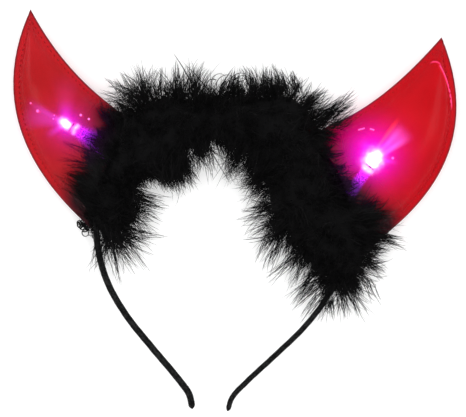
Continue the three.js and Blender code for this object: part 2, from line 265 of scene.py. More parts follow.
def smooth_line(rows, count):
    """A smooth curve through all the rows."""
    rows = np.array(rows, float)
    rows = np.vstack([2 * rows[0] - rows[1], rows, 2 * rows[-1] - rows[-2]])
    gaps = np.sqrt(span(np.diff(rows[:, :2], axis=0)))
    t = np.linspace(0, 1, 40, endpoint=False)[:, None]
    spans = []
    for i in range(1, len(rows) - 2):
        a, b, c, d = rows[i - 1 : i + 3]
        ab, bc, cd = gaps[i - 1 : i + 2]
        leave = ((b - a) / ab - (c - a) / (ab + bc) + (c - b) / bc) * bc
        arrive = ((c - b) / bc - (d - b) / (bc + cd) + (d - c) / cd) * bc
        bow = 3 * (c - b) - 2 * leave - arrive
        spans.append(b + leave * t + bow * t**2 + (2 * (b - c) + leave + arrive) * t**3)
    return even(np.vstack([*spans, rows[-2:-1]]), count)


def span(vectors):
    return np.linalg.norm(vectors, axis=-1)


def unit(vectors):
    return vectors / (span(vectors)[..., None] + 1e-9)


def ways_of(line):
    """The directions along a flat line and to its left."""
    ahead = np.gradient(line[:, :2], axis=0)
    ahead /= span(ahead)[:, None]
    return ahead, np.column_stack([-ahead[:, 1], ahead[:, 0]])


def at_share(columns, share):
    """Rows of a table at shares of its length."""
    place = np.clip(share, 0, 1) * (len(columns) - 1)
    return np.column_stack([np.interp(place, np.arange(len(columns)), c) for c in columns.T])


HOOP_LEFT = [(BAND["x"] - x, y) for x, y in HOOP_HALF]
HOOP_RIGHT = [(BAND["x"] + x, y) for x, y in HOOP_HALF[::-1]]
HOOP, HOOP_LENGTH = smooth_line(HOOP_LEFT + HOOP_RIGHT, BAND["steps"])
HOOP_OUT = ways_of(HOOP)[1]
TRIM_LINE, TRIM_LENGTH = smooth_line(TRIM, TRIM_STEPS)
TRIM_AHEAD, TRIM_OUT = ways_of(TRIM_LINE)


def horn_edge(horn, side):
    """One long edge of a horn: a straight run out of the hoop, then one curve to the tip."""
    *places, run = horn[side]
    base, bend, tip = (np.array(p, float) for p in (*places, horn["tip"]))
    inwards = (base - bend) / span(base - bend)
    t = np.linspace(0, 1, 160)[:, None]
    curve = (1 - t) ** 2 * base + 2 * t * (1 - t) * bend + t**2 * tip
    return even(np.vstack([base + inwards * run, curve]), EDGE_STEPS)


def in_outline(points, outline):
    """Which points lie inside a closed outline, by how many of its edges are to their right."""
    hits = np.zeros(len(points), int)
    for (ax, ay), (bx, by) in zip(outline, np.roll(outline, -1, axis=0)):
        if ay == by:
            continue
        crosses = (points[:, 1] > ay) != (points[:, 1] > by)
        hits += crosses & (points[:, 0] < ax + (points[:, 1] - ay) * (bx - ax) / (by - ay))
    return hits % 2 == 1


# The hoop's outer face, with the gap that pieces keep to it
HOOP_FACE = (HOOP + HOOP_OUT * (BAND["thickness"] / 2 + GAP))[::6]


class Panel:
    """One horn's flat pattern, and how far its film swells from the middle plane."""

    def __init__(self, horn):
        self.outer, self.outer_length = horn_edge(horn, "outer")
        self.inner, self.inner_length = horn_edge(horn, "inner")

    def spots(self, share, place):
        """Points at shares of the length and places across."""
        outer, inner = at_share(self.outer, share), at_share(self.inner, share)
        return outer + (inner - outer) * place[:, None]

    def swell(self, share, place):
        width = span(at_share(self.outer, share) - at_share(self.inner, share))
        border = np.minimum(FLANGE / np.maximum(width, 0.1), 0.3)
        across = np.clip((place - border) / (1 - 2 * border), 0, 1) * 2 - 1
        puff = np.minimum(PUFF["share"] * width, PUFF["most"])
        return puff * (1 - across**2) ** PUFF["shape"]

    def start(self, place):
        """The share of the length at which each place across leaves the hoop."""
        shares = np.linspace(0, 0.7, 400)
        last = len(shares) - 1
        starts = []
        for p in place:
            inside = in_outline(self.spots(shares, np.full(len(shares), p)), HOOP_FACE)
            starts.append(shares[min(np.flatnonzero(inside).max() + 1, last)] if inside.any() else 0)
        return np.array(starts)

    def edge_distance(self, spots):
        """Distance to the nearer long edge and the run along it."""
        rows = []
        for line, length in ((self.outer, self.outer_length), (self.inner, self.inner_length)):
            gaps = span(spots[:, None, :] - line[None, ::2, :])
            rows.append((gaps.min(1), gaps.argmin(1) * 2 * length / (EDGE_STEPS - 1)))
        (far_out, run_out), (far_in, run_in) = rows
        by_outer = far_out < far_in
        return np.where(by_outer, far_out, far_in), np.where(by_outer, run_out, run_in)


PANELS = {side: Panel(horn) for side, horn in HORNS.items()}


# Materials
class Value:
    """A socket of a material. Arithmetic on it adds Math nodes."""

    def __init__(self, finish, socket):
        self.finish = finish
        self.socket = socket

    def math(self, operation, *terms):
        return self.finish.node("Math", {"operation": operation}, dict(enumerate(terms or (self,))))

    def __add__(self, other):
        return self.math("ADD", self, other)

    def __sub__(self, other):
        return self.math("SUBTRACT", self, other)

    def __rsub__(self, other):
        return self.math("SUBTRACT", other, self)

    def __mul__(self, other):
        return self.math("MULTIPLY", self, other)

    def __truediv__(self, other):
        return self.math("DIVIDE", self, other)

    def __rtruediv__(self, other):
        return self.math("DIVIDE", other, self)

    __radd__ = __add__
    __rmul__ = __mul__

    def wave(self, pitch):
        return (self * (math.tau / pitch)).math("SINE")

    def abs(self):
        return self.math("ABSOLUTE")

    def smooth(self, low, high):
        """0 below low and 1 above high, or the other way round where low is the larger."""
        turned = low > high
        values = {"Value": self, "From Min": min(low, high), "From Max": max(low, high)}
        values.update({"To Min": float(turned), "To Max": float(not turned)})
        return self.finish.node("MapRange", {"interpolation_type": "SMOOTHSTEP"}, values)


class Finish:
    """One material under construction."""

    def __init__(self, name, seen):
        self.material = bpy.data.materials.new(name)
        self.material.use_nodes = True
        self.material.diffuse_color = (*seen, 1)
        self.tree = self.material.node_tree
        self.tree.nodes.clear()

    def node(self, kind, settings=None, values=None, output=0):
        made = self.tree.nodes.new("ShaderNode" + kind)
        for key, setting in (settings or {}).items():
            setattr(made, key, setting)
        for key, value in (values or {}).items():
            if isinstance(value, Value):
                self.tree.links.new(value.socket, made.inputs[key])
            else:
                made.inputs[key].default_value = value
        return Value(self, made.outputs[output])

    def place(self):
        """Object coordinates in millimetres."""
        spot = self.node("TexCoord", output="Object")
        return self.node("VectorMath", {"operation": "SCALE"}, {0: spot, "Scale": 1000.0})

    def attribute(self, name):
        return self.node("Attribute", {"attribute_name": name}, output="Fac")

    def apart(self, vector):
        """The first two parts of a vector."""
        first = self.node("SeparateXYZ", values={0: vector})
        return first, Value(self, first.socket.node.outputs[1])

    def turned_to(self, spot, centre, degrees=0):
        """Flat coordinates about a centre in the hoop's axes, with x along a direction, and the distance."""
        x, y = centre
        values = {"Vector": spot, "Location": (x + AXIS_X, y, 0), "Rotation": (0, 0, math.radians(degrees))}
        local = self.node("Mapping", {"vector_type": "TEXTURE"}, values)
        flat = self.node("VectorMath", {"operation": "MULTIPLY"}, {0: local, 1: (1, 1, 0)})
        away = self.node("VectorMath", {"operation": "LENGTH"}, {0: flat}, "Value")
        return *self.apart(flat), away

    def mix(self, share, a, b, blend="MIX"):
        colours = {0: share}
        for key, colour in ((6, a), (7, b)):
            colours[key] = colour if isinstance(colour, Value) else (*colour, 1)
        return self.node("Mix", {"data_type": "RGBA", "blend_type": blend}, colours, 2)

    def grain(self, spot, scale, detail=2.0):
        return self.node("TexNoise", values={"Vector": spot, "Scale": scale, "Detail": detail})

    def oval(self, x, y, length, width):
        """1 at a centre, falling away softly over a length and a width."""
        x, y = x / length, y / width
        return ((x * x + y * y) * -1.0).math("EXPONENT")

    def bump(self, height, strength, distance):
        return self.node("Bump", values={"Height": height, "Strength": strength, "Distance": distance})

    def surface(self, colour, rough, others):
        """A surface from its colour, its roughness and its other sockets by name."""
        values = {"Base Color": colour, "Roughness": rough, **others}
        return self.node("BsdfPrincipled", values=values)

    def close(self, surface):
        output = self.tree.nodes.new("ShaderNodeOutputMaterial")
        self.tree.links.new(surface.socket, output.inputs["Surface"])
        return self.material


def ribbon_finish():
    """Black woven ribbon with fine cross threads, paler on their crests; painted shade darkens its sides."""
    f = Finish("band_ribbon", (0.02, 0.02, 0.02))
    along, across = f.apart(f.node("TexCoord", output="UV"))
    warp, weft = along.wave(BAND["thread"] / HOOP_LENGTH), across.wave(BAND["thread"] / BAND["girth"])
    weave = warp * weft * 0.5 + 0.5
    flecks = f.grain(f.place(), 1.1, 3.0)
    # Painted shade: the band is paler on its top and bottom faces and darker at its sides, where it turns
    # away
    painted_lit_faces = across.wave(1).abs().smooth(0.5, 0.98)
    crest = weave * 0.3 + flecks.smooth(0.42, 0.64) * 0.7
    colour = f.mix(crest * painted_lit_faces, (0.0006, 0.0006, 0.0007), (0.022, 0.022, 0.0225))
    others = {"Normal": f.bump(weave, 0.5, 0.00012), "Specular IOR Level": 0.06}
    return f.close(f.surface(colour, 0.8 - crest * 0.2, others))


VIOLET = (0.22, 0.0, 1.0)
LILAC = (0.34, 0.08, 1.0)
PINK = (0.40, 0.06, 0.38)
ROSE = (0.9, 0.12, 0.45)
EMBER = (0.9, 0.10, 0.04)
WHITE_HOT = (1.6, 1.6, 1.8)
PINK_HOT = (0.9, 0.55, 1.0)
SPARK = (0.9, 0.25, 0.9)
NO_LIGHT = (0, 0, 0)
# Painted light: the lamps' light in the film is painted into its emission
# Light in the film, in millimetres from each lamp with x along its lead. Halos and the white core: place,
# length, width, power and colour. Glints on the lamp's collar: place and size. Beams: turn from the lead,
# shift aside, near and far ends, half widths there, softness, power and colour. Sparks, with places in the
# hoop's axes: place and size
GLOW = {
    "left": {
        "halos": [
            (-2, 0, 10.5, 10.5, 0.40, (0.14, 0.0, 0.50)),
            (-0.5, 0, 5.0, 5.0, 1.0, VIOLET),
            (-9.5, -0.5, 5.0, 4.2, 0.40, (0.10, 0.0, 0.8)),
        ],
        "core": (0.6, 0.1, 2.3, 1.6, 3.0, WHITE_HOT),
        "warp": 1.6,
        "glints": [(-5.2, 1.9, 1.0), (-4.6, 0.7, 1.0), (-4.6, -0.6, 1.0), (-5.2, -1.9, 1.1)],
        "sleeve": {"half": (2.4, 5.0), "soft": 0.6, "end": 19, "gap": -3.0, "start": -4.6},
        "beams": [
            (16, 0.0, 2, 25, 2.0, 6.0, 0.9, 0.36, LILAC),
            (2, 0.0, 2, 24, 0.9, 1.4, 0.9, 0.25, LILAC),
            (-58, 0.5, 2, 28, 2.0, 5.5, 1.0, 0.24, PINK),
            (-58, 0.5, 1, 13, 1.6, 3.2, 1.0, 0.36, VIOLET),
            (62, 0.0, 1, 13, 0.9, 1.6, 1.0, 0.40, LILAC),
        ],
        "sparks": [
            (-99.3, 50.7, 0.7), (-95.5, 47.0, 1.1), (-87.3, 43.5, 0.5), (-86.9, 45.3, 0.5),
            (-73.9, 46.3, 0.9), (-69.8, 44.6, 0.8),
        ],
    },
    "right": {
        "halos": [
            (4, 3, 16, 16, 0.7, (0.22, 0.0, 0.03)),
            (1, 3, 12, 12, 0.95, VIOLET),
            (0, 1, 6.5, 6.5, 0.8, VIOLET),
        ],
        "core": (-0.8, 0.8, 3.4, 3.0, 4.0, WHITE_HOT),
        "warp": 3.2,
        "glints": [(-6.5, -2.2, 1.1), (-6.6, -0.8, 1.1), (-6.6, 0.8, 1.1), (-6.5, 2.2, 1.1)],
        "sleeve": {"half": (2.4, 3.0), "soft": 0.4, "end": 23, "gap": -4.9, "start": -7.0},
        "beams": [
            (-10, 0.4, 3, 23, 2.2, 4.6, 0.6, 0.62, (0.42, 0.14, 1.0)),
            (-20, 0.0, 3, 20, 0.9, 1.3, 0.8, 0.40, (0.4, 0.22, 0.9)),
            (-4, 0.6, 3, 22, 0.7, 1.2, 0.8, 0.22, (0.45, 0.2, 0.7)),
            (1, 2.7, 4, 25, 0.7, 0.9, 0.8, 0.7, EMBER),
            (-62, 0.0, 1, 12, 0.8, 1.0, 0.8, 0.45, LILAC),
            (75, 0.0, 1, 14, 1.4, 2.2, 1.0, 0.4, LILAC),
            (140, 0.0, 1, 10, 0.8, 1.1, 0.8, 0.3, LILAC),
        ],
        "sparks": [
            (82.1, 34.6, 1.0), (64.8, 47.8, 0.6), (65.6, 48.1, 0.6), (66.4, 48.3, 0.6),
            (67.2, 48.6, 0.6), (70.5, 48.5, 0.6), (71.2, 48.3, 0.6), (71.9, 48.1, 0.6),
        ],
    },
}
# The film's dark and pale red, and its colours at the seam, the cut edge, in the painted shade of the down,
# light and deep, and by a sleeve
FILM_RED = {
    "left": ((0.52, 0.020, 0.024), (0.64, 0.030, 0.038)),
    "right": ((0.64, 0.006, 0.012), (0.78, 0.012, 0.022)),
}
FILM_TONES = {
    "border": (0.66, 0.012, 0.018), "seam": (0.32, 0.004, 0.008), "rim": (0.12, 0.001, 0.008),
    "shade": (0.26, 0.0, 0.01), "deep_shade": (0.012, 0.0, 0.003), "sleeve": (0.09, 0.0, 0.20),
}
FILM_CLEAR = (0.90, 0.32, 0.41, 1)
# Round patches of film with painted shade where the down shades it from behind, besides the painted shade
# next to the trim itself
SHADED = {"left": [(-70, 3, 10), (-61, 46, 6.5)], "right": [(68, 5, 12), (77, 0, 11.5)]}
# Arcs of the painted shine on the fold in the right horn: centre, radius, and the heights between which it
# shows
FOLD_ARCS = [(69.5, 58.7, 41.0, 60, 82.0), (100.6, 80.8, 3.3, 80.8, 90)]
FOLD_FROM_X = (97.8, 100)


def along_lead(f, spot, side, turn=0):
    """Flat coordinates about a lamp, with x along its lead or turned from it, and the distance."""
    (x, y), (from_x, from_y) = HORNS[side]["lamp"]["at"], HORNS[side]["lamp"]["from"]
    lead = math.degrees(math.atan2(y - from_y, x - from_x))
    return f.turned_to(spot, (x, y), lead + turn)


def bulb_light(f, spot, along, across, glow, shade):
    """The halos round a lamp, dimmed where the down shades the film, and its white core."""
    light = NO_LIGHT
    for x, y, length, width, power, colour in glow["halos"]:
        light = f.mix(f.oval(along - x, across - y, length, width) * power, light, colour, "ADD")
    light = f.mix(shade * 0.6, light, NO_LIGHT)
    x, y, length, width, power, colour = glow["core"]
    bent = along - x + (f.grain(spot, 0.28, 1.0) - 0.5) * glow["warp"]
    aside = across - y + (f.grain(spot, 0.36, 1.0) - 0.5) * glow["warp"]
    return f.mix(f.oval(bent, aside, length, width) * power, light, colour, "ADD")


def sleeve_light(f, spot, along, across, glow, light):
    """Adds the painted light of the lit sleeve and the glints, and the painted shade of the dark gap by the
    collar, and tells where these hide the film.
    """
    tube = glow["sleeve"]
    off = across.abs()
    lumps = f.grain(spot, 0.55, 3.0).smooth(0.35, 0.7)
    rib = along.wave(SLEEVE["pitch"]) * 0.12 + f.grain(spot, 1.3, 3.0).smooth(0.38, 0.62) * 0.75 + 0.15
    fade = along.smooth(-tube["end"], tube["start"])
    narrow, broad = tube["half"]
    sleeve = (off / (broad + fade * (narrow - broad))).smooth(1 + tube["soft"], 1 - tube["soft"])
    sleeve = sleeve * along.smooth(tube["start"] + 0.6, tube["start"] - 0.6)
    lit = f.mix(fade, (0.10, 0.0, 0.4), (1.3, 0.03, 1.4))
    light = f.mix(sleeve * fade * rib, light, lit, "ADD")
    for x, y, size in glow["glints"]:
        glint = f.oval(along - x, across - y, size, size) * (lumps * 0.5 + 0.6)
        light = f.mix(glint, light, PINK_HOT, "ADD")
    gap = (along - tube["gap"]).abs().smooth(0.65, 0.25) * off.smooth(3.0, 2.2) * (1 - lumps * 0.6)
    return f.mix(gap, light, (0.06, 0.0, 0.10)), sleeve.math("MAXIMUM", sleeve, gap) * 0.9


def ray_light(f, spot, side, light):
    """Adds beams that widen from the lamp, and sparks."""
    for turn, shift, near, far, narrow, broad, soft, power, colour in GLOW[side]["beams"]:
        along, across, _ = along_lead(f, spot, side, turn)
        half = narrow + along.smooth(near, far) * (broad - narrow)
        inside = ((across - shift).abs() / half).smooth(1 + soft, 1 - soft)
        inside = inside * along.smooth(0, near) * along.smooth(far, far * (1 - 0.65 * soft))
        light = f.mix(inside * power, light, colour, "ADD")
    for x, y, size in GLOW[side]["sparks"]:
        away = f.turned_to(spot, (x, y))[2]
        light = f.mix((away / size).smooth(1.0, 0.3), light, SPARK, "ADD")
    return light


def fold_light(f, spot, light):
    """Adds the painted shine on the right horn's fold."""
    along, across, _ = f.turned_to(spot, (0, 0))
    for x, y, radius, low, high in FOLD_ARCS:
        away = f.turned_to(spot, (x, y))[2]
        fold = (away - radius).abs().smooth(0.5, 0.1) * across.smooth(low, low + 5)
        fold = fold * along.smooth(*FOLD_FROM_X)
        light = f.mix(fold * across.smooth(high + 0.6, high), light, ROSE, "ADD")
    return light


def film_finish(side):
    """Clear red film, glossy, with a dark cut edge, the lamp's light painted in it and painted shade by the
    down.
    """
    f = Finish(f"{side}_horn_film", (0.5, 0.02, 0.03))
    spot = f.place()
    edge, run, past = (f.attribute(name) for name in FILM_ATTRIBUTES)
    # Painted shade of the down on the film: a wide maroon one and a deep near-black one, which also dim the
    # painted light
    shade, deep_shade = past.smooth(13, -2), past.smooth(3.5, -6)
    rim = edge.smooth(1.25, 0.3)
    cloud = f.grain(spot, 0.045, 3.0)
    speck = f.grain(spot, 0.9, 4.0)

    along, across, _ = along_lead(f, spot, side)
    light = bulb_light(f, spot, along, across, GLOW[side], shade)
    light, covered = sleeve_light(f, spot, along, across, GLOW[side], light)
    light = ray_light(f, spot, side, light)
    if side == "right":
        light = fold_light(f, spot, light)
    light = f.mix(deep_shade * 0.85, light, NO_LIGHT)

    red = f.mix(cloud.smooth(0.3, 0.7), *FILM_RED[side])
    for share, tone in (
        (edge.smooth(WELD + 0.6, WELD - 0.8) * 0.3, "border"),
        ((edge - WELD).abs().smooth(0.7, 0.1) * 0.15, "seam"),
        (rim * 0.9, "rim"),
        (shade * 0.75, "shade"),
        (deep_shade * 0.95, "deep_shade"),
        (covered, "sleeve"),
    ):
        red = f.mix(share, red, FILM_TONES[tone])

    pucker = run.wave(GATHER["pitch"]) * edge.smooth(WELD + 3, WELD) * edge.smooth(1.5, 3)
    normal = f.bump(pucker * 0.4 + cloud * 3 + speck * 0.1, 0.35, 0.0006)
    others = {"Normal": normal, "Emission Color": light, "Emission Strength": 1.6, "Specular IOR Level": 0.3}
    film = f.surface(red, speck * 0.14 + 0.16 + rim * 0.5, others)
    clear = f.node("BsdfTransparent", values={"Color": FILM_CLEAR})
    solid = rim * 0.5 + shade * 0.3 + deep_shade * 0.35 + covered * 0.25 + 0.34
    return f.close(f.node("MixShader", values={0: solid, 1: clear, 2: film}))


def thread_finish():
    """Dark red twisted thread."""
    f = Finish("horn_thread", (0.2, 0.01, 0.02))
    twist = f.grain(f.place(), 2.5, 2.0)
    colour = f.mix(twist.smooth(0.3, 0.7), (0.17, 0.003, 0.006), (0.30, 0.006, 0.010))
    return f.close(f.surface(colour, 0.6, {"Specular IOR Level": 0.2}))


def lens_finish(side):
    """A lit lens, white at the nose and pink down at its flange."""
    f = Finish(f"{side}_lamp_lens", (1, 0.9, 1))
    along, across, _ = along_lead(f, f.place(), side)
    core = f.oval(along - 0.2, across, 2.6, 2.0).smooth(0.3, 0.6)
    colour = f.mix(core, (0.26, 0.01, 0.42), (1.0, 0.96, 1.0))
    others = {"Emission Color": colour, "Emission Strength": 8.0}
    return f.close(f.surface((0.9, 0.8, 0.9, 1), 0.15, others))


def sleeve_finish(side):
    """A clear ribbed sleeve, with the lamp's light that it carries some way down painted into its glow."""
    f = Finish(f"{side}_lamp_sleeve", (0.5, 0.05, 0.6))
    tube = GLOW[side]["sleeve"]
    spot = f.place()
    along = along_lead(f, spot, side)[0]
    lit = along.smooth(4 - tube["end"], tube["start"] - 4)
    rib = along.wave(SLEEVE["pitch"]) * 0.5 + 0.5
    colour = f.mix(lit, (0.006, 0.0, 0.06), (0.42, 0.02, 0.7))
    colour = f.mix(rib * 0.5, colour, (0.05, 0.0, 0.16))
    base = f.mix(rib, (0.30, 0.06, 0.38), (0.12, 0.01, 0.2))
    others = {"Emission Color": colour, "Emission Strength": 3.0}
    return f.close(f.surface(base, 0.25 + f.grain(spot, 0.8) * 0.1, others))


def down_finish():
    """Black down, a little paler from strand to strand, with the lamps' violet light painted on where they
    light it.
    """
    f = Finish("marabou_down", (0.01, 0.01, 0.01))
    spot = f.place()
    colour = f.mix(f.attribute("tone"), (0.003, 0.003, 0.0032), (0.017, 0.0163, 0.017))
    # Painted light: violet near each lamp
    for horn in HORNS.values():
        away = f.turned_to(spot, horn["lamp"]["at"])[2]
        colour = f.mix(away.smooth(27, 8) * 0.85, colour, (0.036, 0.002, 0.042))
    rough = f.grain(spot, 0.6) * 0.2 + 0.7
    return f.close(f.surface(colour, rough, {"Specular IOR Level": 0.06}))


def floor_finish():
    """Plain pale floor."""
    f = Finish("pale_floor", (0.9, 0.9, 0.9))
    tone = f.grain(f.place(), 0.004, 2.0)
    colour = f.mix(tone.smooth(0.3, 0.7), (0.70, 0.70, 0.70), (0.72, 0.72, 0.72))
    others = {"Specular IOR Level": 0.1, "Emission Color": (1, 1, 1, 1), "Emission Strength": 0.32}
    return f.close(f.surface(colour, 0.9, others))


# Making pieces
def placed(name, data):
    """A new object in the scene."""
    piece = bpy.data.objects.new(name, data)
    bpy.context.scene.collection.objects.link(piece)
    return piece


def show(name, mesh, finish):
    piece = placed(name, mesh)
    mesh.materials.append(finish)
    mesh.shade_smooth()
    return piece


def as_mesh(name, bm):
    mesh = bpy.data.meshes.new(name)
    bm.to_mesh(mesh)
    bm.free()
    return mesh


def add_piece(name, shape, finish, slot, *nodes):
    """A finished piece from a bmesh or a mesh, on the object's one body."""
    mesh = as_mesh(name, shape) if isinstance(shape, bmesh.types.BMesh) else shape
    piece = show(name, mesh, finish)
    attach(piece, "root")
    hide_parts(*nodes)
    return piece


def laid_grid(rows, columns):
    """A grid of unit size whose UV map is its shares along and across, with these shares for its vertices."""
    bm = bmesh.new()
    uv = bm.loops.layers.uv.new("UVMap")
    bmesh.ops.create_grid(bm, x_segments=rows, y_segments=columns, size=0.5)
    bmesh.ops.translate(bm, verts=bm.verts, vec=(0.5, 0.5, 0))
    for face in bm.faces:
        for loop in face.loops:
            loop[uv].uv = loop.vert.co.xy
    return bm, *np.array([v.co[:2] for v in bm.verts]).T


def taper(along, length, reach, least):
    """1 along a line, rounded off over a reach at both ends."""
    from_end = np.minimum(along, 1 - along) * length
    return np.sqrt(np.clip(from_end / reach, least, 1))


def move_to(bm, points):
    """Puts the vertices at points given in millimetres in the hoop's axes."""
    for vert, (x, y, z) in zip(bm.verts, points):
        vert.co = ((x + AXIS_X) * MM, y * MM, z * MM)


def join(bm, gap, fill=0):
    """Joins vertices closer than a gap, fills holes of up to so many sides and turns the faces outwards."""
    bmesh.ops.remove_doubles(bm, verts=bm.verts, dist=gap * MM)
    if fill:
        bmesh.ops.holes_fill(bm, edges=bm.edges, sides=fill)
    bmesh.ops.recalc_face_normals(bm, faces=bm.faces)


# Band
def squarish(wave, size, lap):
    """One way across a section that is squarer than an oval, with the ribbon's laps on it."""
    return np.sign(wave) * np.abs(wave) ** BAND["square"] * (size - BAND["lap"] + lap)


def make_band(finish):
    """The hoop, wrapped in ribbon and narrowed at its tips."""
    bm, along, round_ = laid_grid(BAND["steps"], BAND["sides"])
    turn = math.tau * round_
    left, right = BAND["legs"]
    half = BAND["thickness"] / 2 + left + (right - left) * along
    small = taper(along, HOOP_LENGTH, BAND["tip"], 0.02)
    lap = BAND["lap"] * ((along * HOOP_LENGTH / BAND["wrap"] + round_) % 1)
    thick = squarish(np.cos(turn), half, lap) * small
    high = squarish(np.sin(turn), BAND["depth"] / 2, lap) * small
    spots = at_share(HOOP, along) + at_share(HOOP_OUT, along) * thick[:, None]
    move_to(bm, np.column_stack([spots, MIDDLE_Z + high]))
    join(bm, 0.02, fill=BAND["sides"] + 2)
    add_piece("wrapped_band", bm, finish, "band_ribbon", "band")


# Horns
def film_half(panel, share, place, edge):
    """Half the thickness of a horn: its border, rounded at the rim, and the swell."""
    rim = np.sqrt(np.clip(edge / FILM["rim"], 0, 1))
    return FILM["border"] * rim + panel.swell(share, place)


def past_trim(side, spots):
    """How far spots on a horn lie outside the trim's dense down and the film that it shades."""
    line = TRIM_LINE[::4]
    gaps = span(spots[:, None, :] - line[None, :, :2]) - line[None, :, 2]
    past = gaps.min(axis=1)
    for x, y, radius in SHADED[side]:
        past = np.minimum(past, span(spots - (x, y)) - radius)
    return past


def across_at(columns):
    """Places across a horn, closer together towards its edges."""
    return 0.5 - 0.5 * np.cos(np.pi * columns)


def film_sheet(side, sign, columns, starts):
    """The front or the back of a horn, with faint dents and gathers next to the border."""
    panel = PANELS[side]
    bm, u, v = laid_grid(FILM["rows"], FILM["columns"])
    place = across_at(v)
    start = np.interp(v, columns, starts)
    share = start + (FILM["tip"] - start) * u
    spots = panel.spots(share, place)
    edge, run = panel.edge_distance(spots)
    edge = np.where((v < 1e-4) | (v > 1 - 1e-4), 0, edge)
    calm = np.clip((edge - FLANGE) / DENTS["from_edge"], 0, 1)
    scale = DENTS["scale"]
    dents = [noise.noise(Vector((x * scale, y * scale, sign * 3.1))) for x, y in spots]
    ridge = np.exp(-(((edge - FLANGE - GATHER["inset"]) / GATHER["width"]) ** 2))
    gather = np.sin(run * math.tau / GATHER["pitch"]) * ridge * GATHER["height"]
    half = film_half(panel, share, place, edge) + np.array(dents) * DENTS["height"] * calm + gather
    half = np.where(edge == 0, 0, half)
    layers = [bm.verts.layers.float.new(name) for name in FILM_ATTRIBUTES]
    for vert, values in zip(bm.verts, zip(edge, run, past_trim(side, spots))):
        for layer, value in zip(layers, values):
            vert[layer] = value
    move_to(bm, np.column_stack([spots, MIDDLE_Z + sign * half]))
    return as_mesh(f"{side}_horn_sheet", bm)


def make_horn(side, finish):
    """Two sheets of film, joined along a horn's edges."""
    columns = np.linspace(0, 1, FILM["columns"] + 1)
    starts = PANELS[side].start(across_at(columns))
    bm = bmesh.new()
    for sign in (1, -1):
        mesh = film_sheet(side, sign, columns, starts)
        bm.from_mesh(mesh)
        bpy.data.meshes.remove(mesh)
    join(bm, 0.03)
    piece = add_piece(f"{side}_film_horn", bm, finish, "horn_film", f"{side}_horn")
    wall = piece.modifiers.new("wall", "SOLIDIFY")
    wall.thickness = FILM["wall"] * MM
    wall.offset = -1


def make_stitches(side, finish):
    """Short stitches along both edges of a horn, on its front and its back."""
    panel = PANELS[side]
    bm = bmesh.new()
    size = Matrix.Diagonal((STITCH["length"] / 2, STITCH["width"] / 2, STITCH["height"] / 2, 1))
    for edge_name, line, other, length in (
        ("outer", panel.outer, panel.inner, panel.outer_length),
        ("inner", panel.inner, panel.outer, panel.inner_length),
    ):
        inset = STITCH["inset"][edge_name]
        count = int(length / STITCH["pitch"])
        shares = (np.arange(count) + 0.5) / count
        across = at_share(other - line, shares)
        steps = at_share(ways_of(line)[0], shares)
        square = np.abs(across[:, 0] * steps[:, 1] - across[:, 1] * steps[:, 0])
        places = np.clip(inset / np.maximum(square, 0.1), 0, 0.45)
        places = places if edge_name == "outer" else 1 - places
        spots = panel.spots(shares, places)
        heights = film_half(panel, shares, places, inset)
        shown = ~in_outline(spots, HOOP_FACE) & (shares < STITCH["last"])
        shown &= past_trim(side, spots) > STITCH["from_down"]
        for (x, y), step, height in zip(spots[shown], steps[shown], heights[shown]):
            turn = Matrix.Rotation(math.atan2(step[1], step[0]), 4, "Z")
            for sign in (1, -1):
                rise = MIDDLE_Z + sign * (height + STITCH["lift"])
                lie = Matrix.Translation(((x + AXIS_X) * MM, y * MM, rise * MM)) @ turn @ size
                bmesh.ops.create_uvsphere(bm, u_segments=6, v_segments=4, radius=MM, matrix=lie)
    add_piece(f"{side}_horn_stitches", bm, finish, "horn_film")


# Lamps
def turned(profile, sides):
    """A profile of radii and heights, turned about the upright axis."""
    bm = bmesh.new()
    verts = [bm.verts.new((r * MM, 0, h * MM)) for r, h in profile]
    edges = [bm.edges.new(pair) for pair in zip(verts, verts[1:])]
    about = {"cent": (0, 0, 0), "axis": (0, 0, 1), "angle": math.tau}
    bmesh.ops.spin(bm, geom=verts + edges, steps=sides, use_merge=True, **about)
    join(bm, 0.001)
    return bm


def on_lead(bm, lamp, foot):
    """Stands a turned shape along a lamp's lead, its foot at a distance from the lead's start."""
    start, end = Vector((*lamp["from"], 0)), Vector((*lamp["at"], 0))
    way = (end - start).normalized()
    spot = start + way * foot + Vector((AXIS_X, 0, MIDDLE_Z))
    turn = Vector((0, 0, 1)).rotation_difference(way).to_matrix().to_4x4()
    bmesh.ops.transform(bm, verts=bm.verts, matrix=Matrix.Translation(spot * MM) @ turn)
    return bm


def lamp_profile():
    """A flange with bevelled edges, a barrel and a round nose."""
    r, flange, high, bevel = (LAMP[key] for key in ("radius", "flange_radius", "flange", "bevel"))
    profile = [(0, 0), (flange - bevel, 0), (flange, bevel), (flange, high - bevel)]
    profile += [(flange - bevel, high), (r, high + bevel / 2)]
    for step in range(9):
        lift = step * math.pi / 16
        profile.append((r * math.cos(lift), LAMP["barrel"] + r * math.sin(lift)))
    return profile


def sleeve_profile(length):
    """A tube with round ribs."""
    steps = round(length / SLEEVE["pitch"]) * SLEEVE["steps"]
    profile = [(0, 0)]
    for step in range(steps + 1):
        bulge = 0.5 - 0.5 * math.cos(step * math.tau / SLEEVE["steps"])
        radius = SLEEVE["radius"] + (SLEEVE["rib_radius"] - SLEEVE["radius"]) * bulge
        profile.append((radius, length * step / steps))
    return [*profile, (0, length)]


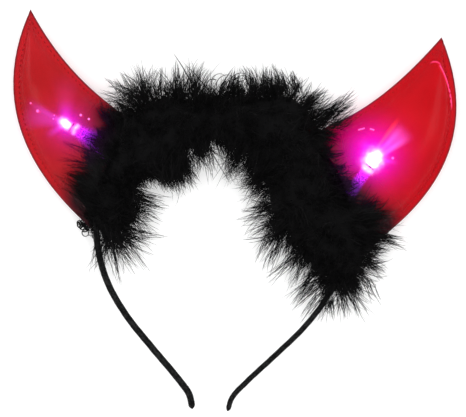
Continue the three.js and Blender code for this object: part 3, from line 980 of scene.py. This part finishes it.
def make_lamp(side, lens, sleeve):
    """A lamp at the end of its lead, and its sleeve, which starts where the lead leaves the hoop."""
    lamp = HORNS[side]["lamp"]
    lead = math.dist(lamp["at"], lamp["from"])
    foot = lead - LAMP["barrel"] / 2
    bulb = on_lead(turned(lamp_profile(), LAMP["sides"]), lamp, foot)
    add_piece(f"{side}_lit_lamp", bulb, lens, "lamp_lens", f"{side}_lamp")

    shares = np.linspace(0, 1, 500)[:, None]
    line = np.array(lamp["from"]) + shares * (np.array(lamp["at"]) - np.array(lamp["from"]))
    begin = shares[np.flatnonzero(in_outline(line, HOOP_FACE)).max(), 0] * lead + SLEEVE["gap"]
    tube = on_lead(turned(sleeve_profile(foot - GAP - begin), SLEEVE["sides"]), lamp, begin)
    add_piece(f"{side}_ribbed_sleeve", tube, sleeve, "lamp_sleeve", f"{side}_lamp_sleeve")


# Marabou
def film_cells(points):
    """The cell of 1 mm that each point is in, on a grid about the hoop's axes."""
    return np.clip(np.floor(points[..., :2] + FILM_GRID / 2).astype(int), 0, FILM_GRID - 1)


def film_heights():
    """How far the horns' film stands from the middle plane in each cell."""
    heights = np.zeros((FILM_GRID, FILM_GRID))
    share, place = (g.ravel() for g in np.meshgrid(np.linspace(0, 1, 420), np.linspace(0, 1, 220)))
    for panel in PANELS.values():
        spots = panel.spots(share, place)
        half = film_half(panel, share, place, FLANGE)
        out = ~in_outline(spots, HOOP_FACE)
        cells = film_cells(spots[out])
        np.maximum.at(heights, (cells[:, 0], cells[:, 1]), half[out])
    return heights


FILM_HEIGHTS = film_heights()


def clear_of_film(points, sign):
    """Lifts points that would be inside a horn on to its film, and out of the floor."""
    cells = film_cells(points)
    film = FILM_HEIGHTS[cells[..., 0], cells[..., 1]]
    reach = film + CLEAR["film"]
    within = (film > 0) & (np.abs(points[..., 2] - MIDDLE_Z) < reach)
    lifted = MIDDLE_Z + sign[:, None] * reach
    points[..., 2] = np.clip(np.where(within, lifted, points[..., 2]), CLEAR["floor"], TRIM_TOP)
    return points


def strand_mesh(name, sets):
    """Tapering three-sided strands joined into one mesh. Each set has rows of points, widths and tones."""
    spots, corners, tones = [], [], []
    first = 0
    for centres, width, tone in sets:
        count, rows = centres.shape[:2]
        ahead = unit(np.gradient(centres, axis=1))
        side = unit(np.cross(ahead, ASKEW))
        over = np.cross(ahead, side)
        rings = []
        for row in range(rows - 1):
            slim = 1 - 0.7 * (row / (rows - 1)) ** 1.5
            for corner in range(3):
                turn = math.tau * corner / 3
                lean = side[:, row] * math.cos(turn) + over[:, row] * math.sin(turn)
                rings.append(centres[:, row] + lean * (width * slim)[:, None])
        rings.append(centres[:, -1])
        faces = [(0, 2, 1)]
        for row in range(0, 3 * (rows - 2), 3):
            for c in range(3):
                a, b = row + c, row + (c + 1) % 3
                faces += [(a, b, b + 3), (a, b + 3, a + 3)]
        last = 3 * (rows - 2)
        faces += [(last + c, last + (c + 1) % 3, last + 3) for c in range(3)]
        spots.append(np.stack(rings, axis=1).reshape(-1, 3))
        starts = first + np.arange(count) * len(rings)
        corners.append((starts[:, None, None] + np.array(faces)).ravel())
        tones.append(np.repeat(tone, len(rings)))
        first += count * len(rings)
    points, corners = np.vstack(spots), np.concatenate(corners)
    points[:, 0] += AXIS_X
    mesh = bpy.data.meshes.new(name)
    mesh.vertices.add(len(points))
    mesh.vertices.foreach_set("co", (points * MM).astype(np.float32).ravel())
    mesh.loops.add(len(corners))
    mesh.loops.foreach_set("vertex_index", corners.astype(np.int32))
    mesh.polygons.add(len(corners) // 3)
    mesh.polygons.foreach_set("loop_start", np.arange(0, len(corners), 3, dtype=np.int32))
    mesh.update(calc_edges=True)
    shade = mesh.attributes.new("tone", "FLOAT", "POINT")
    shade.data.foreach_set("value", np.concatenate(tones).astype(np.float32))
    return mesh


def strand_rows(root, tip, bow, points):
    """Rows of points from roots to tips, bowed sideways between them."""
    t = np.linspace(0, 1, points)[None, :, None]
    return root[:, None] + (tip - root)[:, None] * t + bow[:, None] * (4 * t * (1 - t))


def strand_looks(rng, groups, per, width):
    """Widths that differ from strand to strand, and tones that differ from group to group as well."""
    tone = np.repeat(rng.random(groups), per) * 0.5 + rng.random(groups * per) * 0.5
    return width * rng.uniform(*STRAND["width"], groups * per), tone**2


def trim_at(share, turn):
    """The trim's middle, the vector to its dense edge in one direction round it, and that direction's lie."""
    x, y, outer, inner, wisp_out, wisp_in, lean_out, lean_in = at_share(TRIM_LINE, share).T
    out, up = np.cos(turn), np.sin(turn)
    outside = out > 0
    lumps_out, lumps_in = at_share(LUMPS.T, share).T
    wide = np.where(outside, outer * lumps_out, inner * lumps_in)
    high = TRIM_RISE * (outer + inner) / 2
    middle = np.column_stack([x, y, np.full(len(share), float(MIDDLE_Z))])
    reach = np.column_stack([at_share(TRIM_OUT, share) * (wide * out)[:, None], high * up])
    ahead = np.column_stack([at_share(TRIM_AHEAD, share), np.zeros(len(share))])
    wisp = WISP_UP + (np.where(outside, wisp_out, wisp_in) - WISP_UP) * np.abs(out)
    lean = np.where(outside, lean_out, lean_in) * np.abs(out)
    return middle, reach, ahead, wisp, lean


def tuft_strands(rng, low, high, layer):
    """Strands in tufts all round the trim that end at a share of its reach."""
    tufts, per = layer["tufts"], layer["strands"]
    share = rng.uniform(low, high, tufts)
    turn = rng.uniform(-STRAND["under"], math.pi + STRAND["under"], tufts)
    middle, reach, ahead, _, lean = trim_at(share, turn)
    size = span(reach)[:, None]
    root = middle + reach * (layer["reach"][0] - STRAND["root"])
    tip = middle + reach * rng.uniform(*layer["reach"], (tufts, 1))
    tip += ahead * size * (STRAND["lean"] * lean[:, None] + rng.normal(0, STRAND["stray"], (tufts, 1)))
    count = tufts * per
    roots = np.repeat(root, per, axis=0) + rng.normal(0, layer["scatter"], (count, 3))
    tips = np.repeat(tip, per, axis=0) + rng.normal(0, layer["scatter"], (count, 3))
    tips = roots + (tips - roots) * rng.uniform(*STRAND["length"], (count, 1))
    bow = np.repeat(rng.normal(0, 1.0, (tufts, 3)), per, axis=0) + rng.normal(0, 0.7, (count, 3))
    rows = strand_rows(roots, tips, bow, layer["points"])
    rows = clear_of_film(rows, np.repeat(np.where(np.sin(turn) > -0.1, 1, -1), per))
    return rows, *strand_looks(rng, tufts, per, layer["width"])


def lock_strands(rng, root, way, length, sign, curl=0.1, thick=LOCKS["width"], drawn=LOCKS["drawn"]):
    """Locks: long barbs from nearby roots that curve the same way, some fanned and some drawn to a point."""
    count, per = len(root), LOCKS["barbs"]
    side = unit(np.cross(way, unit(rng.normal(0, 0.5, (count, 3)) + [0, 0, 1])))
    curve = side * (length * rng.normal(0, curl, count))[:, None]
    drawn = rng.uniform(*drawn, (count, 1))

    def fan(values):
        return np.repeat(values, per, axis=0)

    total = count * per
    astray = rng.normal(0, LOCKS["scatter"], (total, 3))
    begin = fan(root) + astray
    swing = rng.normal(0, LOCKS["spread"], (total, 1)) * fan(1 - drawn)
    stray = rng.normal(0, LOCKS["stray"], (total, 3)) * fan(1 - drawn)
    heading = unit(fan(way) + fan(side) * swing + stray)
    long = fan(length)[:, None] * (1 - LOCKS["shorter"] * rng.random((total, 1)) ** 1.2)
    tip = begin - astray * fan(drawn) + heading * long + fan(curve)
    bow = fan(curve) * -0.25 + rng.normal(0, LOCKS["bow"], (total, 3))
    rows = clear_of_film(strand_rows(begin, tip, bow, LOCKS["points"]), fan(sign))
    return rows, *strand_looks(rng, count, per, thick)


def edge_ways(rng, count, low, high):
    """Places on the trim's dense edge, mostly at its sides, with directions to leave it and lengths."""
    sides = rng.choice(EDGE_TURNS, count, p=EDGE_SHARES)
    turn = sides + rng.normal(0, LEAVE["spread"], count) * np.where(sides == TOP, 2, 1)
    middle, reach, ahead, wisp, lean = trim_at(rng.uniform(low, high, count), turn)
    lean = lean + rng.normal(0, LEAVE["lean"], count)
    way = unit(reach) + ahead * lean[:, None] + rng.normal(0, LEAVE["stray"], (count, 3))
    size = span(reach) * (1 - LEAVE["from"])
    return middle + reach * LEAVE["from"], unit(way), size, wisp, np.where(np.sin(turn) > -0.2, 1, -1)


def end_ways(rng, count, end):
    """The same, fanned out over an end of the trim."""
    share = np.full(count, float(end["share"]))
    middle, _, ahead, _, _ = trim_at(share, share * 0.0)
    ahead = ahead * (1 if end["share"] else -1)
    fan = rng.uniform(*end["fan"], count)
    out = np.column_stack([-ahead[:, 1], ahead[:, 0], ahead[:, 2]])
    way = ahead * np.cos(fan)[:, None] + out * np.sin(fan)[:, None]
    way[:, 2] += rng.uniform(*END_RISE, count)
    root = middle - ahead * END_INSET + rng.normal(0, 2.0, (count, 3))
    size, wisp = np.full(count, END_INSET + end["reach"]), np.full(count, float(end["wisp"]))
    return root, unit(way), size, wisp, np.ones(count)


def add_down(name, sets, finish):
    add_piece(name, strand_mesh(name, sets), finish, "marabou", "marabou_trim")


def make_down(index, name, finish):
    """One stretch of the trim, with a fan of locks and hairs over an end."""
    rng = np.random.default_rng(SEEDS["down"] + index)
    low, high = index / len(TRIM_PIECES), (index + 1) / len(TRIM_PIECES)
    sets = [tuft_strands(rng, max(low, DENSE_FROM), high, layer) for layer in (FILL, EDGE)]

    ways = [edge_ways(rng, LOCKS["count"], low, high)]
    if name in TRIM_ENDS:
        ways.append(end_ways(rng, TRIM_ENDS[name]["locks"], TRIM_ENDS[name]))
    for root, way, size, wisp, sign in ways:
        past = wisp * LOCKS["past"] * rng.uniform(0.1, 1.0, len(root)) ** 1.3
        sets.append(lock_strands(rng, root, way, size + past, sign, LOCKS["curl"]))

    ways = [edge_ways(rng, HAIR["count"], low, high)]
    if name in TRIM_ENDS:
        ways.append(end_ways(rng, HAIR["count"] // 2, TRIM_ENDS[name]))
    for root, way, size, wisp, sign in ways:
        count = len(root)
        tip = root + way * (size + wisp * rng.uniform(*HAIR["past"], count))[:, None]
        bow = rng.normal(0, HAIR["bow"], (count, 3))
        rows = clear_of_film(strand_rows(root, tip, bow, HAIR["points"]), sign)
        sets.append((rows, HAIR["width"] * rng.uniform(0.7, 1.3, count), rng.random(count)))
    add_down(f"marabou_{name}", sets, finish)


def make_tufts(finish):
    """The tufts that stand out from the rest."""
    rng = np.random.default_rng(SEEDS["tufts"])
    sets = []
    for place, tufts in TUFTS.items():
        rows = np.array(tufts, float)
        rows = np.repeat(rows, rows[:, 4].astype(int), axis=0)
        count = len(rows)
        ends = []
        for spots, z in ((rows[:, :2], TUFT["root_z"]), (rows[:, 2:4], TUFT["tip_z"])):
            scatter = rng.normal(0, TUFT["scatter"], (count, 3))
            ends.append(np.column_stack([spots, np.full(count, z)]) + scatter)
        root, tip = ends
        length = span(tip - root) * rng.uniform(*TUFT["length"], count)
        style = TUFT_STYLE.get(place, {})
        sets.append(lock_strands(rng, root, unit(tip - root), length, np.ones(count), **style))
    add_down("marabou_tufts", sets, finish)


def make_curls(finish):
    """Loose curled ends, a knot of thread and bare quills."""
    t = np.linspace(0, 1, CURL_POINTS)
    rows = []
    for x, y, z, radius, start, sweep, _ in CURLS:
        turn = np.radians(start + sweep * t)
        size = radius * (1.15 - 0.3 * t)
        rows.append(np.column_stack([x + size * np.cos(turn), y + size * np.sin(turn), z + 1.2 * t]))
    widths = np.array([curl[-1] for curl in CURLS])
    curls = (np.array(rows), widths, np.full(len(rows), LOOSE_TONE))
    count = len(QUILLS)
    ends, starts = np.array(QUILLS, float).transpose(1, 0, 2)
    quills = strand_rows(starts, ends, np.tile([0.3, 0.3, 0], (count, 1)), QUILL["points"])
    sets = [curls, (quills, np.full(count, QUILL["width"]), np.full(count, LOOSE_TONE))]
    add_down("marabou_curls", sets, finish)


def make_core(finish):
    """The dense down next to the hoop."""
    bm, along, round_ = laid_grid(CORE["steps"], CORE["sides"])
    middle, reach, _, _, _ = trim_at(along, math.tau * round_)
    size = CORE["share"] * taper(along, TRIM_LENGTH, CORE["taper"], 0.01)
    spots = middle + reach * size[:, None]
    spots[:, 2] = np.maximum(spots[:, 2], CORE["floor"])
    move_to(bm, spots)
    join(bm, 0.02)
    layer = bm.verts.layers.float.new("tone")
    for vert in bm.verts:
        vert[layer] = CORE["tone"]
    add_piece("marabou_core", bm, finish, "marabou", "marabou_trim")


# Stage
def make_floor():
    bm = bmesh.new()
    bmesh.ops.create_grid(bm, x_segments=8, y_segments=8, size=2)
    show("floor", as_mesh("floor", bm), floor_finish())


def add_softbox(name, place, size, power, glossy):
    """A light turned to the frame's origin."""
    lamp = bpy.data.lights.new(name, "AREA")
    lamp.shape = "RECTANGLE"
    lamp.size, lamp.size_y = size
    lamp.energy = power
    softbox = placed(name, lamp)
    softbox.location = place
    softbox.rotation_euler = (-Vector(place)).to_track_quat("-Z", "Y").to_euler()
    softbox.visible_glossy = glossy


def set_stage():
    """The floor, even white surroundings and the softboxes."""
    make_floor()
    scene = bpy.context.scene
    scene.view_settings.view_transform = "Standard"
    world = bpy.data.worlds.new("studio")
    scene.world = world
    world.use_nodes = True
    sky = world.node_tree.nodes["Background"].inputs
    sky["Color"].default_value = (1, 1, 1, 1)
    sky["Strength"].default_value = SKY_STRENGTH
    for name, box in SOFTBOXES.items():
        add_softbox(name, *box)


def set_camera():
    """Straight above, rolled as the picture is."""
    lens = bpy.data.cameras.new("camera")
    lens.sensor_width = SENSOR
    seen = PICTURE["width"] * PICTURE["pixel"] * MM
    lens.lens = SENSOR * (CAMERA_HEIGHT - MIDDLE_Z * MM) / seen
    camera = placed("camera", lens)
    x, y = PICTURE["middle"]
    camera.location = (x * MM, y * MM, CAMERA_HEIGHT)
    camera.rotation_euler = (0, 0, math.radians(PICTURE["roll"]))
    bpy.context.scene.camera = camera


set_camera()
set_stage()
make_band(ribbon_finish())
thread = thread_finish()
for side in HORNS:
    make_horn(side, film_finish(side))
    make_stitches(side, thread)
    make_lamp(side, lens_finish(side), sleeve_finish(side))
down = down_finish()
make_core(down)
make_curls(down)
make_tufts(down)
for index, name in enumerate(TRIM_PIECES):
    make_down(index, name, down)
